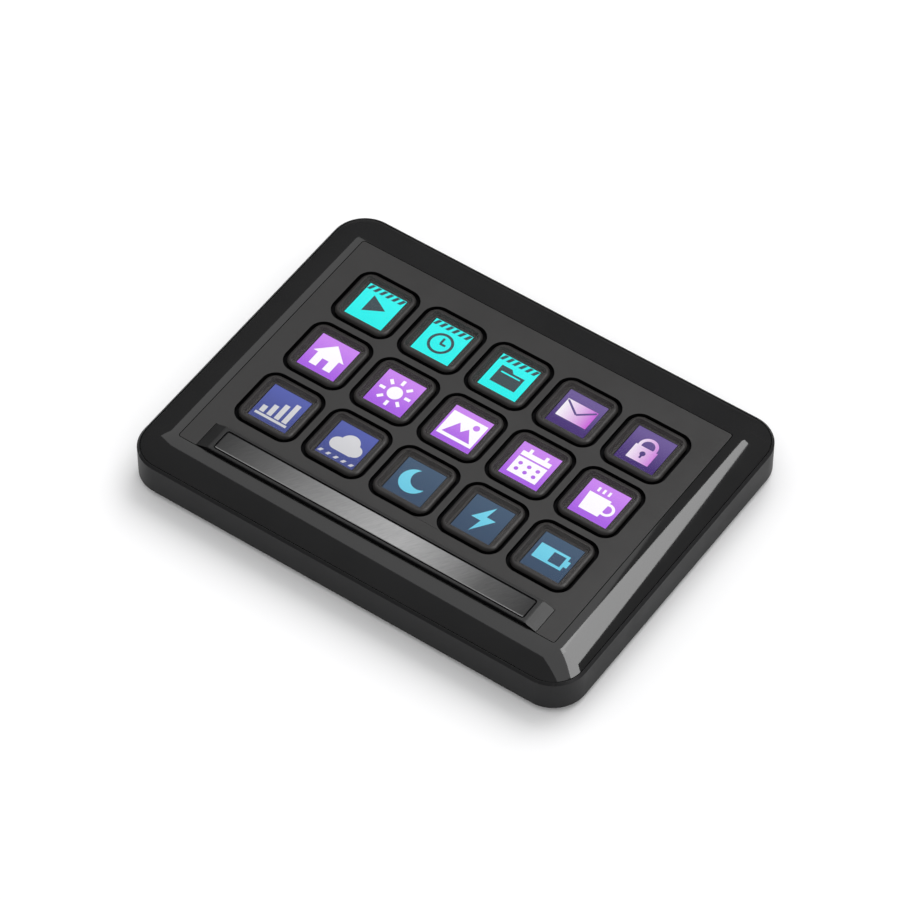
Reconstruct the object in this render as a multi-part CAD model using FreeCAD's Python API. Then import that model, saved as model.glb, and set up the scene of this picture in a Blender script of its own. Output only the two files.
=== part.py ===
import FreeCAD, Part
import math
import os

# A macro keypad: a flat desk pad with three rows of five picture keys, a raised bar along the
# front of its face and a convex shoulder all round. Millimetres, +Z up, front towards -Y.
# The origin is the middle of the footprint, at the bottom of the feet.

# Key field
columns = 5
rows = 3
key_pitch = 19.2
key_web = 1.7
window_corner = 3.9

# Key caps and the displays inside them
key_gap = 1.1
key_travel = 1.0
cap_proud = 0.6
cap_wall = 1.35
picture_cover = 1.2
flange_overlap = 0.4
flange_thickness = 0.75
stop_gap = 0.1
display_fit = 0.1
display_thickness = 1.3
glass_size = 10.9
glass_thickness = 0.3

# Faceplate
side_margin = 5.5
back_margin = 6.3
front_margin = 11.5
plate_thickness = 1.2
plate_corner = 0.6
plate_fit = 0.1
guide_clearance = 0.2
guide_spare = 0.15

# Front bar
bar_end_margin = 5.05
bar_slot = 0.1
bar_depth = 7.65
bar_height = 1.1
bar_end_run = 3.1
bar_seat = 0.3
bar_fit = 0.12
bar_edge = 0.2
tab_length = 4.0
tab_width = 1.6
tab_fit = 0.1
tab_proud = 0.6
tab_place_shares = (-0.8, -0.27, 0.27, 0.8)

# Nameplate, a bare strip let into the bar
strip_end_margin = 1.1
strip_front_margin = 0.95
strip_depth = 5.8
strip_corner = 0.6
strip_thickness = 0.4
strip_recess = 0.1
strip_fit = 0.15

# Upper housing
shoulder_side = 8.5
shoulder_end = 9.0
shoulder_drop = 2.45
ledge_width = 2.5
ledge_thickness = 1.6
skirt_thickness = 2.0
tongue_thickness = 1.2
tongue_depth = 1.2
tongue_fit = 0.2
clamp_width = 1.4
clamp_length = 8.0
clamp_gap = 0.05
clamp_place_shares = (-0.3, 0.3)

# Base tray
tray_corner = 8.7
tray_wall = 2.2
floor_thickness = 1.8
bottom_edge = 0.8
lip_width = 0.65
lip_edge = 0.55
seam_gap = 0.2
rebate_depth = 1.5
rest_height = 2.9
rest_width = 1.2

# Catches on the front of the tongue, which snap into pockets in the tray's front wall
catch_length = 9.0
catch_height = 0.8
catch_reach = 0.7
catch_fit = 0.15
catch_place_shares = (-0.6, 0.0, 0.6)

# Screw columns in the two back corners
column_size = 5.6
column_inset = 5.0
column_gap = 0.5
head_pocket_radius = 2.3
head_pocket_depth = 2.2

# Key mat
mat_thickness = 0.6
mat_border = 0.4
collar_height = 2.9
collar_gap = 0.1
collar_wall = 1.0
collar_spread = 0.8
collar_land = 0.75

# Main board and its chips
board_thickness = 1.6
board_side_border = 4.0
board_front_border = 1.0
board_wall_gap = 0.4
chip_size = 9.0
chip_thickness = 0.9
chip_place_shares = ((-1.0, 0.0), (-0.5, 0.0), (0.5, 0.0), (1.0, 1.0))

# Socket in the back wall
socket_width = 8.94
socket_height = 3.26
socket_length = 7.35
socket_shell = 0.3
socket_drop = 1.3
socket_set_back = 0.4
socket_clearance = 0.3
contact_width = 6.7
contact_thickness = 0.7
contact_length = 5.2
ear_width = 1.2
ear_length = 1.2
ear_insets = (0.8, 4.2)
plug_recess_margin = 1.6
plug_recess_depth = 0.6
tongue_notch_margin = 1.0

# Screws
screw_radius = 1.1
screw_head_radius = 2.0
screw_head_height = 1.4
screw_grip = 3.4
thread_clearance = 0.05
hole_clearance = 0.2
hole_end_room = 0.4

# Rubber feet, two long strips
foot_length = 84.0
foot_width = 7.0
foot_proud = 0.8
foot_seat = 0.8
foot_fit = 0.1
foot_inset = 13.0

# Modelling
overrun = 1.0
pick_tolerance = 0.001

# Plan sizes worked out from the key field outwards
window_size = key_pitch - key_web
cap_size = window_size - 2 * key_gap
cap_corner = window_corner - key_gap
flange_size = window_size + 2 * flange_overlap
pocket_size = cap_size - 2 * cap_wall
display_size = pocket_size - 2 * display_fit
guide_size = flange_size + 2 * guide_clearance
guide_depth = stop_gap + flange_thickness + key_travel + guide_spare

field_width = (columns - 1) * key_pitch + window_size
field_depth = (rows - 1) * key_pitch + window_size
field_y = (front_margin - back_margin) / 2

plate_width = field_width + 2 * side_margin
plate_depth = field_depth + front_margin + back_margin
upper_width = plate_width + 2 * shoulder_side
upper_depth = plate_depth + 2 * shoulder_end
upper_corner = tray_corner - lip_width - seam_gap
tray_width = upper_width + 2 * (lip_width + seam_gap)
tray_depth = upper_depth + 2 * (lip_width + seam_gap)
inner_width = tray_width - 2 * tray_wall
inner_depth = tray_depth - 2 * tray_wall
inner_corner = tray_corner - tray_wall

# Heights stacked from the desk upwards
tray_bottom = foot_proud
floor_top = tray_bottom + floor_thickness
board_bottom = floor_top + rest_height
board_top = board_bottom + board_thickness
mat_top = board_top + mat_thickness
collar_top = mat_top + collar_height
flange_bottom = collar_top + collar_gap
flange_top = flange_bottom + flange_thickness
plate_bottom = flange_top + stop_gap
plate_top = plate_bottom + plate_thickness
cap_top = plate_top + cap_proud
display_top = cap_top - picture_cover
ledge_bottom = plate_bottom - ledge_thickness
lip_top = plate_top - shoulder_drop
skirt_bottom = lip_top - rebate_depth
tongue_bottom = skirt_bottom - tongue_depth
column_split = tongue_bottom - column_gap
head_seat = tray_bottom + head_pocket_depth
socket_z = board_top - socket_drop

# Places of the bar, board, screws, socket and feet
bar_length = plate_width - 2 * bar_end_margin
bar_front = bar_slot - plate_depth / 2
bar_y = bar_front + bar_depth / 2
strip_length = bar_length - 2 * (bar_end_run + strip_end_margin)
strip_y = bar_front + strip_front_margin + strip_depth / 2
strip_bottom = plate_top + bar_height - strip_recess - strip_thickness

mat_width = (columns - 1) * key_pitch + flange_size + 2 * mat_border
mat_depth = (rows - 1) * key_pitch + flange_size + 2 * mat_border
board_width = mat_width + 2 * board_side_border
board_front = field_y - mat_depth / 2 - board_front_border
board_back = inner_depth / 2 - board_wall_gap
board_y = (board_front + board_back) / 2

screw_x = inner_width / 2 - column_inset
screw_y = inner_depth / 2 - column_inset
socket_front = tray_depth / 2 - plug_recess_depth - socket_set_back
socket_back = socket_front - socket_length
foot_y = tray_depth / 2 - foot_inset

corner_signs = ((1, 1), (-1, 1), (-1, -1), (1, -1))


def point(x, y, z):
    return FreeCAD.Vector(x, y, z)


def rounded_wire(width, depth, radius, z, x=0, y=0):
    # Rounded rectangle round (x, y), as lines and quarter arcs
    edges = []
    last = None
    first = None
    for turn, (sx, sy) in enumerate(corner_signs):
        cx = x + sx * (width / 2 - radius)
        cy = y + sy * (depth / 2 - radius)
        ring = []
        for part in (0, 1, 2):
            angle = math.radians(90 * turn + 45 * part)
            ring.append(point(cx + radius * math.cos(angle), cy + radius * math.sin(angle), z))
        if last is not None and last.distanceToPoint(ring[0]) > pick_tolerance:
            edges.append(Part.LineSegment(last, ring[0]).toShape())
        edges.append(Part.Arc(*ring).toShape())
        first = first or ring[0]
        last = ring[2]
    if last.distanceToPoint(first) > pick_tolerance:
        edges.append(Part.LineSegment(last, first).toShape())
    return Part.Wire(edges)


def slab(width, depth, radius, low, high, x=0, y=0):
    wire = rounded_wire(width, depth, radius, low, x, y)
    return Part.Face(wire).extrude(point(0, 0, high - low))


def box(width, depth, low, high, x=0, y=0):
    corner = point(x - width / 2, y - depth / 2, low)
    return Part.makeBox(width, depth, high - low, corner)


def rod(radius, low, high, x, y):
    return Part.makeCylinder(radius, high - low, point(x, y, low))


def frustum(low_size, high_size, low, high, x, y):
    # Square block that narrows upwards
    wires = []
    for size, z in ((low_size, low), (high_size, high)):
        ring = [point(x + sx * size / 2, y + sy * size / 2, z) for sx, sy in corner_signs]
        wires.append(Part.makePolygon(ring + ring[:1]))
    return Part.makeLoft(wires, True, True)


def edges_at(shape, z):
    # Edges that lie flat at one height
    found = []
    for edge in shape.Edges:
        span = edge.BoundBox
        if abs(span.ZMin - z) < pick_tolerance and abs(span.ZMax - z) < pick_tolerance:
            found.append(edge)
    return found


def key_centres():
    places = []
    for row in range(rows):
        for column in range(columns):
            x = (column - (columns - 1) / 2) * key_pitch
            y = field_y + ((rows - 1) / 2 - row) * key_pitch
            places.append((row, column, x, y))
    return places


def screw_places():
    return [(side * screw_x, screw_y) for side in (-1, 1)]


def stadium_tube(width, height, back, front, x, z):
    # A bar with round ends that runs along Y
    wire = rounded_wire(width, height, height / 2, 0)
    solid = Part.Face(wire).extrude(point(0, 0, front - back))
    solid.rotate(point(0, 0, 0), point(1, 0, 0), -90)
    solid.translate(point(x, back, z))
    return solid


def tray_shell():
    shell = slab(tray_width, tray_depth, tray_corner, tray_bottom, lip_top)
    shell = shell.makeChamfer(lip_edge, edges_at(shell, lip_top))
    shell = shell.makeChamfer(bottom_edge, edges_at(shell, tray_bottom))
    above = lip_top + overrun
    hollow = slab(inner_width, inner_depth, inner_corner, floor_top, above)
    lip = 2 * lip_width
    rebate = slab(tray_width - lip, tray_depth - lip, tray_corner - lip_width, skirt_bottom, above)
    return shell.cut([hollow, rebate])


def tray_inside():
    # Screw columns, and ribs that carry the board under the crossings of the key field
    pieces = [box(column_size, column_size, floor_top, column_split, x, y) for x, y in screw_places()]
    for crossing in range(rows - 1):
        y = field_y + (crossing + 1 - rows / 2) * key_pitch
        pieces.append(box(board_width, rest_width, floor_top, board_bottom, 0, y))
    for crossing in range(columns - 1):
        x = (crossing + 1 - columns / 2) * key_pitch
        pieces.append(box(rest_width, mat_depth, floor_top, board_bottom, x, field_y))
    return pieces


def foot(size_gain):
    # One rubber strip, or its pocket where the size is given some clearance
    width = foot_width + size_gain
    low = tray_bottom - foot_proud
    return slab(foot_length + size_gain, width, width / 2, low, tray_bottom + foot_seat)


def feet_in_place(size_gain):
    feet = []
    for side in (-1, 1):
        strip = foot(size_gain)
        strip.translate(point(0, side * foot_y, 0))
        feet.append(strip)
    return feet


def tray_holes():
    below = tray_bottom - overrun
    holes = feet_in_place(2 * foot_fit)
    for x, y in screw_places():
        holes.append(rod(head_pocket_radius, below, head_seat, x, y))
        holes.append(rod(screw_radius + hole_clearance, below, column_split + overrun, x, y))
    return holes + catches(catch_fit)


def catches(fit):
    # Blocks on the front of the tongue, or their pockets where they are given some clearance
    front = -inner_depth / 2 + tongue_fit
    reach = catch_reach + fit
    high = tongue_bottom + catch_height + fit
    pieces = []
    for share in catch_place_shares:
        x = share * inner_width / 2
        pieces.append(box(catch_length + 2 * fit, 2 * reach, tongue_bottom - fit, high, x, front))
    return pieces


def socket_way():
    # Slot through the back wall, with a shallow recess for the plug's grip
    wall_in = inner_depth / 2 - overrun
    wall_out = tray_depth / 2 + overrun
    gap = 2 * socket_clearance
    grip = 2 * plug_recess_margin
    slot = stadium_tube(socket_width + gap, socket_height + gap, wall_in, wall_out, 0, socket_z)
    recess_floor = tray_depth / 2 - plug_recess_depth
    recess = stadium_tube(socket_width + grip, socket_height + grip, recess_floor, wall_out, 0, socket_z)
    return [slot, recess]


def base_tray():
    return tray_shell().fuse(tray_inside()).cut(tray_holes() + socket_way()).removeSplitter()


def shoulder_ring(share, z):
    # Control points of the shoulder's outline at one share of its width, corner by corner:
    # where the corner arc starts, the sharp corner and where the arc ends
    half_x = plate_width / 2 + share * shoulder_side
    half_y = plate_depth / 2 + share * shoulder_end
    corner = plate_corner + share * (upper_corner - plate_corner)
    ring = []
    for turn, (sx, sy) in enumerate(corner_signs):
        sharp = point(sx * half_x, sy * half_y, z)
        on_side = point(sx * half_x, sy * (half_y - corner), z)
        on_end = point(sx * (half_x - corner), sy * half_y, z)
        ring.append([on_side, sharp, on_end] if turn % 2 == 0 else [on_end, sharp, on_side])
    return ring


def shoulder_patch(rows_of_poles, pole_weights, arc_weight):
    # A rational patch: a straight or quarter-round run by the convex section
    degree = len(rows_of_poles) - 1
    weights = [[weight, weight * arc_weight, weight] for weight in pole_weights]
    ends = (degree + 1, degree + 1)
    surface = Part.BSplineSurface()
    surface.buildFromPolesMultsKnots(
        rows_of_poles, ends, (3, 3), (0, 1), (0, 1), False, False, degree, 2, weights
    )
    return surface.toShape()


def shoulder():
    # Convex shoulder: an arc leaves the face level and falls to the seam. The same arc is carried
    # round the corners, whose radius grows steadily from the face's to the outline's.
    arc_radius = (shoulder_side ** 2 + shoulder_drop ** 2) / (2 * shoulder_drop)
    half_turn = math.asin(shoulder_side / arc_radius) / 2
    middle_share = arc_radius * math.tan(half_turn) / shoulder_side
    levels = [shoulder_ring(0, plate_top), shoulder_ring(middle_share, plate_top), shoulder_ring(1, lip_top)]
    arc_weight = math.cos(half_turn)
    quarter_weight = math.cos(math.pi / 4)
    faces = []
    for turn in range(len(corner_signs)):
        corner = [[level[turn][pole] for level in levels] for pole in range(3)]
        following = [level[(turn + 1) % len(corner_signs)][0] for level in levels]
        faces.append(shoulder_patch(corner, (1, quarter_weight, 1), arc_weight))
        faces.append(shoulder_patch([corner[2], following], (1, 1), arc_weight))
    faces.append(Part.Face(rounded_wire(plate_width, plate_depth, plate_corner, plate_top)))
    faces.append(Part.Face(rounded_wire(upper_width, upper_depth, upper_corner, lip_top)))
    shell = Part.Shell(faces)
    shell.sewShape()
    return Part.Solid(shell)


def screw_columns():
    return [box(column_size, column_size, column_split, ledge_bottom, x, y) for x, y in screw_places()]


def board_clamps():
    # Blocks under the ledge that hold the board down on its ribs
    x = (board_width - clamp_width) / 2
    low = board_top + clamp_gap
    blocks = []
    for side in (-1, 1):
        for share in clamp_place_shares:
            blocks.append(box(clamp_width, clamp_length, low, ledge_bottom, side * x, share * inner_depth))
    return blocks


def tongue():
    width = inner_width - 2 * tongue_fit
    depth = inner_depth - 2 * tongue_fit
    corner = inner_corner - tongue_fit
    inside = 2 * tongue_thickness
    ring = slab(width, depth, corner, tongue_bottom, ledge_bottom)
    hole = slab(width - inside, depth - inside, corner - tongue_thickness, tongue_bottom, ledge_bottom)
    notch_width = socket_width + 2 * tongue_notch_margin
    notch = box(notch_width, 2 * tray_wall, tongue_bottom, skirt_bottom, 0, depth / 2)
    return ring.fuse(catches(0)).cut([hole, notch])


def upper_housing():
    skirt = slab(upper_width, upper_depth, upper_corner, skirt_bottom, lip_top)
    body = shoulder().fuse(skirt)
    fit = 2 * plate_fit
    above = plate_top + overrun
    below = skirt_bottom - overrun
    seat = slab(plate_width + fit, plate_depth + fit, plate_corner + plate_fit, plate_bottom, above)
    opening = box(plate_width - 2 * ledge_width, plate_depth - 2 * ledge_width, below, above)
    inside = 2 * skirt_thickness
    cavity_corner = upper_corner - skirt_thickness
    cavity = slab(upper_width - inside, upper_depth - inside, cavity_corner, below, ledge_bottom)
    body = body.cut([seat, opening, cavity])
    body = body.fuse([tongue()] + screw_columns() + board_clamps())
    top = column_split + screw_grip + hole_end_room
    tapped = screw_radius + thread_clearance
    holes = [rod(tapped, column_split - overrun, top, x, y) for x, y in screw_places()]
    return body.cut(holes).removeSplitter()


def guide_grid():
    # Ribs under the faceplate that keep each key's flange square as it slides
    rib = key_pitch - guide_size
    width = (columns - 1) * key_pitch + guide_size + 2 * rib
    depth = (rows - 1) * key_pitch + guide_size + 2 * rib
    low = plate_bottom - guide_depth
    grid = box(width, depth, low, plate_bottom, 0, field_y)
    cells = [box(guide_size, guide_size, low, plate_bottom, x, y) for _, _, x, y in key_centres()]
    return grid.cut(cells)


def bar_tabs(fit):
    # Tabs under the bar, or their slots in the faceplate where they are given some clearance
    low = plate_bottom - tab_proud
    high = plate_top - bar_seat
    length = tab_length + 2 * fit
    places = [share * bar_length / 2 for share in tab_place_shares]
    return [box(length, tab_width + 2 * fit, low, high, x, bar_y) for x in places]


def faceplate():
    plate = slab(plate_width, plate_depth, plate_corner, plate_bottom, plate_top)
    above = plate_top + overrun
    below = plate_bottom - overrun
    cuts = [slab(window_size, window_size, window_corner, below, above, x, y) for _, _, x, y in key_centres()]
    seat_front = -plate_depth / 2 - overrun
    seat_back = bar_front + bar_depth + bar_fit
    seat_length = bar_length + 2 * bar_fit
    seat_y = (seat_front + seat_back) / 2
    cuts.append(box(seat_length, seat_back - seat_front, plate_top - bar_seat, above, 0, seat_y))
    return plate.cut(cuts + bar_tabs(tab_fit)).fuse(guide_grid()).removeSplitter()


def front_bar():
    # The bar's long profile: level on top, with a slope down to the face at each end
    half = bar_length / 2
    flat = half - bar_end_run
    top = plate_top + bar_height
    foot_z = plate_top - bar_seat
    outline = [
        (-half, foot_z),
        (half, foot_z),
        (half, plate_top),
        (flat, top),
        (-flat, top),
        (-half, plate_top),
    ]
    corners = [point(x, bar_front, z) for x, z in outline]
    bar = Part.Face(Part.makePolygon(corners + corners[:1])).extrude(point(0, bar_depth, 0))
    bar = bar.makeChamfer(bar_edge, edges_at(bar, top))
    fit = 2 * strip_fit
    corner = strip_corner + strip_fit
    groove = slab(strip_length + fit, strip_depth + fit, corner, strip_bottom, top + overrun, 0, strip_y)
    return bar.cut(groove).fuse(bar_tabs(0)).removeSplitter()


def nameplate():
    top = strip_bottom + strip_thickness
    return slab(strip_length, strip_depth, strip_corner, strip_bottom, top, 0, strip_y)


def key_cap(x, y):
    body = slab(cap_size, cap_size, cap_corner, flange_bottom, cap_top, x, y)
    flange = box(flange_size, flange_size, flange_bottom, flange_top, x, y)
    pocket = box(pocket_size, pocket_size, flange_bottom - overrun, display_top, x, y)
    return body.fuse(flange).cut(pocket).removeSplitter()


def key_display(x, y):
    # A display module with its glass raised against the cap's clear top
    step = display_top - glass_thickness
    module = box(display_size, display_size, display_top - display_thickness, step, x, y)
    glass = box(glass_size, glass_size, step, display_top, x, y)
    return module.fuse(glass).removeSplitter()


def key_mat():
    # A silicone sheet with a tapered collar under each key's flange
    mat = box(mat_width, mat_depth, board_top, mat_top, 0, field_y)
    top_outer = flange_size - 2 * collar_land
    low_outer = top_outer + 2 * collar_spread
    wall = 2 * collar_wall
    collars = []
    for _, _, x, y in key_centres():
        outer = frustum(low_outer, top_outer, mat_top, collar_top, x, y)
        inner = frustum(low_outer - wall, top_outer - wall, mat_top, collar_top, x, y)
        collars.append(outer.cut(inner))
    return mat.fuse(collars).removeSplitter()


def main_board():
    board = box(board_width, board_back - board_front, board_bottom, board_top, 0, board_y)
    notch_width = socket_width + 2 * socket_clearance
    notch_front = socket_back - socket_clearance
    notch_back = board_back + overrun
    notch_y = (notch_front + notch_back) / 2
    low = board_bottom - overrun
    notch = box(notch_width, notch_back - notch_front, low, board_top + overrun, 0, notch_y)
    return board.cut(notch)


def board_chips():
    # Chips on the board's underside, each below a key and clear of the ribs
    chips = []
    low = board_bottom - chip_thickness
    for share_x, share_y in chip_place_shares:
        x = share_x * (columns - 1) / 2 * key_pitch
        y = field_y + share_y * (rows - 1) / 2 * key_pitch
        chips.append(box(chip_size, chip_size, low, board_bottom, x, y))
    return Part.makeCompound(chips)


def back_socket():
    # A stamped shell sunk in the board's notch, held by four ears that lie on the board
    shell = stadium_tube(socket_width, socket_height, socket_back, socket_front, 0, socket_z)
    ears = []
    span = socket_width + 2 * (socket_clearance + ear_width)
    for inset in ear_insets:
        y = socket_back + inset + ear_length / 2
        ears.append(box(span, ear_length, board_top, board_top + socket_shell, 0, y))
    wall = 2 * socket_shell
    inner_back = socket_back + socket_shell
    front = socket_front + overrun
    inside = stadium_tube(socket_width - wall, socket_height - wall, inner_back, front, 0, socket_z)
    low = socket_z - contact_thickness / 2
    y = socket_back + contact_length / 2
    contact = box(contact_width, contact_length, low, low + contact_thickness, 0, y)
    return shell.fuse(ears).cut(inside).fuse(contact).removeSplitter()


def housing_screw(x, y):
    # Turned profile of a screw that points up, its head sunk in the tray
    head_low = head_seat - screw_head_height
    tip = column_split + screw_grip
    outline = [
        point(x, y, head_low),
        point(x + screw_head_radius, y, head_low),
        point(x + screw_head_radius, y, head_seat),
        point(x + screw_radius, y, head_seat),
        point(x + screw_radius, y, tip),
        point(x, y, tip),
    ]
    face = Part.Face(Part.makePolygon(outline + outline[:1]))
    return face.revolve(point(x, y, head_low), point(0, 0, 1), 360)


def housing_screws():
    return Part.makeCompound([housing_screw(x, y) for x, y in screw_places()])


def rubber_feet():
    return Part.makeCompound(feet_in_place(0))


def all_pieces():
    pieces = {
        "base_tray": base_tray(),
        "upper_housing": upper_housing(),
        "faceplate": faceplate(),
        "front_bar": front_bar(),
        "nameplate": nameplate(),
        "key_mat": key_mat(),
        "main_board": main_board(),
        "board_chips": board_chips(),
        "back_socket": back_socket(),
        "housing_screws": housing_screws(),
        "rubber_feet": rubber_feet(),
    }
    for row, column, x, y in key_centres():
        place = f"r{row + 1}_c{column + 1}"
        pieces[f"key_cap_{place}"] = key_cap(x, y)
        pieces[f"key_display_{place}"] = key_display(x, y)
    return pieces


os.makedirs("parts", exist_ok=True)
for node, shape in all_pieces().items():
    shape.exportStep(f"parts/{node}.step")
    print(node, len(shape.Solids), "solids, volume", round(shape.Volume, 1), "valid", shape.isValid())
print("size", round(tray_width, 2), "by", round(tray_depth, 2), "by", round(cap_top, 2))
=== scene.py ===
import bpy
import bmesh
import math
from mathutils import Euler, Matrix, Vector


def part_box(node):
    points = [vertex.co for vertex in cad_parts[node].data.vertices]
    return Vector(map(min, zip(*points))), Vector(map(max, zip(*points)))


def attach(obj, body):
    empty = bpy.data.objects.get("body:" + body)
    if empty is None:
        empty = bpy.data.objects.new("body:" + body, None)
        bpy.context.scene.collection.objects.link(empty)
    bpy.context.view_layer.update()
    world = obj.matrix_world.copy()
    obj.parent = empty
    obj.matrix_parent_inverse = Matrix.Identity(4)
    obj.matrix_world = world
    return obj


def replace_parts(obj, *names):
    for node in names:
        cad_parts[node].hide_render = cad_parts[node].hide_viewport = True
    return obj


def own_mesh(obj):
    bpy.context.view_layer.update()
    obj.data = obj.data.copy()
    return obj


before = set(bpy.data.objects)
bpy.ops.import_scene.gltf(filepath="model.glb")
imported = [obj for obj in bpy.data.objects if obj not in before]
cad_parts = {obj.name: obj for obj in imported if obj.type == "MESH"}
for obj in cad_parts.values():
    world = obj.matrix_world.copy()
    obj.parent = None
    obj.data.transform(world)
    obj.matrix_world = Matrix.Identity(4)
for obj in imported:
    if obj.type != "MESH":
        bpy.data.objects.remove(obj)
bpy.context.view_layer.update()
print("frame loaded with", len(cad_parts), "nodes")

# Meshes are built in millimetres and turned into metres when a piece is finished
toMetres = 0.001
columnCount = 5
rowCount = 3
screenWidth, screenDepth = 10.6, 10.9
meshCare = {"ringWeld": 0.0005, "nodeWeld": 0.002, "flatAngle": 0.5, "edgeAngle": 24}


def boxMm(node):
    low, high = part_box(node)
    return low / toMetres, high / toMetres


def middle(low, high):
    return (low.x + high.x) / 2, (low.y + high.y) / 2


plateLow, plateHigh = boxMm("faceplate")
upperLow, upperHigh = boxMm("upper_housing")
trayLow, trayHigh = boxMm("base_tray")
barHigh = boxMm("front_bar")[1]
plateTop = upperHigh.z
lipTop = trayHigh.z


# Shared mesh helpers

def roundedLoop(bm, width, depth, corner, z, segments, x=0, y=0):
    # a flat ring of edges round (x, y), from a four-cornered face with its corners bevelled
    before = set(bm.faces)
    corners = [bm.verts.new((x + sideX * width / 2, y + sideY * depth / 2, z))
               for sideX, sideY in ((-1, -1), (1, -1), (1, 1), (-1, 1))]
    bm.faces.new(corners)
    bmesh.ops.bevel(bm, geom=corners, offset=corner, affect="VERTICES", segments=segments,
                    profile=0.5, material=-1)
    faces = [face for face in bm.faces if face not in before]
    edges = [edge for face in faces for edge in face.edges]
    bmesh.ops.delete(bm, geom=faces, context="FACES_ONLY")
    return edges


def extrudeRing(bm, ring):
    # a wall from a ring of edges: gives the new ring and its vertices
    made = bmesh.ops.extrude_edge_only(bm, edges=ring)["geom"]
    verts = {item for item in made if isinstance(item, bmesh.types.BMVert)}
    nextRing = [item for item in made
                if isinstance(item, bmesh.types.BMEdge) and set(item.verts) <= verts]
    return nextRing, verts


def ringChain(bm, plan, segments, x=0, y=0, closed=False):
    # a wall that runs through rounded rectangles of (width, depth, corner, height), ring by ring
    ring = roundedLoop(bm, *plan[0], segments, x, y)
    first = ring
    if closed:
        plan = plan + plan[:1]
    for (width, depth, corner, _), (nextWidth, nextDepth, nextCorner, z) in zip(plan, plan[1:]):
        ring, verts = extrudeRing(bm, ring)
        for vert in verts:
            sideX, sideY = math.copysign(1, vert.co.x - x), math.copysign(1, vert.co.y - y)
            outX = (vert.co.x - x - sideX * (width / 2 - corner)) / corner
            outY = (vert.co.y - y - sideY * (depth / 2 - corner)) / corner
            vert.co.x = x + sideX * (nextWidth / 2 - nextCorner) + outX * nextCorner
            vert.co.y = y + sideY * (nextDepth / 2 - nextCorner) + outY * nextCorner
            vert.co.z = z
    if closed:
        bmesh.ops.remove_doubles(bm, verts=bm.verts, dist=meshCare["ringWeld"])
    else:
        for end in (first, ring):
            bmesh.ops.edgeloop_fill(bm, edges=end)
    bmesh.ops.recalc_face_normals(bm, faces=bm.faces)


def roundEdges(bm, edges, radius, segments):
    bmesh.ops.bevel(bm, geom=edges, offset=radius, offset_type="OFFSET", affect="EDGES",
                    segments=segments, profile=0.5, clamp_overlap=True, material=-1)


def block(bm, low, high, rounding=0.0, segments=2):
    # a bevelled block between two corners
    centre = [(a + b) / 2 for a, b in zip(low, high)]
    size = [b - a for a, b in zip(low, high)]
    place = Matrix.Translation(centre) @ Matrix.Diagonal((*size, 1))
    made = bmesh.ops.create_cube(bm, size=1, matrix=place)
    if rounding:
        edges = {edge for vert in made["verts"] for edge in vert.link_edges}
        roundEdges(bm, list(edges), rounding, segments)


def thicken(bm, faces, height):
    # raises flat faces into a closed plate
    raised = bmesh.ops.extrude_face_region(bm, geom=faces)
    verts = [item for item in raised["geom"] if isinstance(item, bmesh.types.BMVert)]
    bmesh.ops.translate(bm, vec=(0, 0, height), verts=verts)


def meshFrom(bm, name):
    mesh = bpy.data.meshes.new(name)
    bm.to_mesh(mesh)
    bm.free()
    return mesh


def addObject(name, data):
    made = bpy.data.objects.new(name, data)
    bpy.context.scene.collection.objects.link(made)
    return made


def makePiece(name, bm, body, finishes, sharpAngle=32):
    bmesh.ops.scale(bm, vec=(toMetres,) * 3, verts=bm.verts)
    mesh = meshFrom(bm, name)
    for finish in finishes:
        mesh.materials.append(finish)
    mesh.shade_smooth()
    mesh.set_sharp_from_angle(angle=math.radians(sharpAngle))
    piece = addObject(name, mesh)
    evened = piece.modifiers.new("evenNormals", "WEIGHTED_NORMAL")
    evened.keep_sharp = True
    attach(piece, body)
    return piece


def dressedNode(node, name, finishes, rounding, segments):
    # a merged copy of a node's mesh with its edges softened
    bm = bmesh.new()
    bm.from_mesh(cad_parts[node].data)
    bmesh.ops.scale(bm, vec=(1 / toMetres,) * 3, verts=bm.verts)
    bmesh.ops.remove_doubles(bm, verts=bm.verts, dist=meshCare["nodeWeld"])
    bmesh.ops.dissolve_limit(bm, angle_limit=math.radians(meshCare["flatAngle"]),
                             verts=bm.verts, edges=bm.edges)
    sharp = [edge for edge in bm.edges if len(edge.link_faces) == 2
             and edge.calc_face_angle() > math.radians(meshCare["edgeAngle"])]
    roundEdges(bm, sharp, rounding, segments)
    piece = makePiece(name, bm, "housing", finishes)
    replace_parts(piece, node)
    return piece


def useSecondFinish(piece, chosen):
    # the faces that the test picks take the piece's second finish
    for face in piece.data.polygons:
        if chosen(face.center / toMetres, face.normal):
            face.material_index = 1


# Finishes

def newFinish(name):
    finish = bpy.data.materials.new(name)
    finish.use_nodes = True
    tree = finish.node_tree
    return finish, tree, tree.nodes["Principled BSDF"]


def addNode(tree, kind, inputs=None, **settings):
    node = tree.nodes.new(kind)
    for key, value in settings.items():
        setattr(node, key, value)
    for key, value in (inputs or {}).items():
        if isinstance(value, bpy.types.NodeSocket):
            tree.links.new(value, node.inputs[key])
        else:
            node.inputs[key].default_value = value
    return node


def objectPlace(tree):
    return addNode(tree, "ShaderNodeTexCoord").outputs["Object"]


def colourRamp(tree, factor, stops):
    ramp = addNode(tree, "ShaderNodeValToRGB", {"Fac": factor})
    ramp.color_ramp.elements[0].position = stops[0][0]
    ramp.color_ramp.elements[0].color = (*stops[0][1], 1)
    ramp.color_ramp.elements[1].position = stops[-1][0]
    ramp.color_ramp.elements[1].color = (*stops[-1][1], 1)
    for position, colour in stops[1:-1]:
        ramp.color_ramp.elements.new(position).color = (*colour, 1)
    return ramp.outputs["Color"]


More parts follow.
